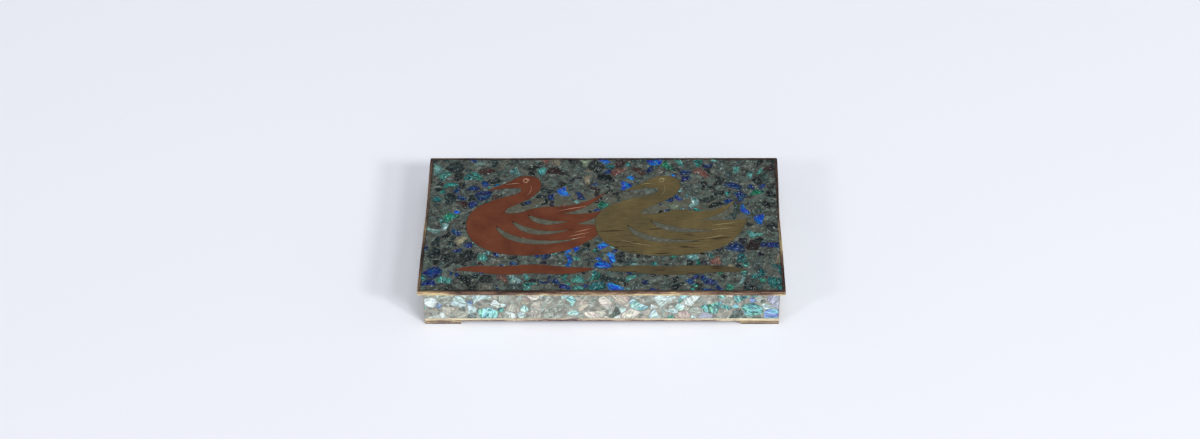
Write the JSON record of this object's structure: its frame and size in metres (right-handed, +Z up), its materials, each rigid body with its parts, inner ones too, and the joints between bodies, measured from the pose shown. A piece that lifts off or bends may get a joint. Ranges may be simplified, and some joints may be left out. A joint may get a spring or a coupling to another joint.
{
  "type": "inlaid metal box with lift-off lid",
  "caption": "Low rectangular lidded metal box on bracket feet, with a stone and shell mosaic in its lid and sides, for small things on a desk or table.",
  "frame": {"origin": "middle of the plane that the four feet stand on, below the centre of the lid", "axes": "+X to the right along the long side seen from the front, +Y to the back, +Z up out of the lid"},
  "size_m": [0.203, 0.114, 0.027],
  "materials": {
    "worn_brass": "worn brass sheet, from brown patina to bright gold on the edges",
    "pale_mosaic": "polished white, mint and aqua shell and stone chips in pale grey resin",
    "dark_mosaic": "polished navy, blue, teal and green shell and stone chips in grey-green resin",
    "copper_sheet": "dull brown copper sheet with light engraved strokes",
    "brass_sheet": "dull olive brass sheet, scratched along its length"
  },
  "bodies": {
    "root": {"box_shell": "worn_brass", "inlay_front": "pale_mosaic", "inlay_back": "pale_mosaic", "inlay_left": "pale_mosaic", "inlay_right": "pale_mosaic", "foot_front_left": "worn_brass", "foot_front_right": "worn_brass", "foot_back_left": "worn_brass", "foot_back_right": "worn_brass", "lid_tray": "worn_brass", "lid_ground": "dark_mosaic", "copper_bird": "copper_sheet", "brass_bird": "brass_sheet", "copper_ripple": "copper_sheet", "brass_ripple": "brass_sheet"}
  },
  "joints": []
}
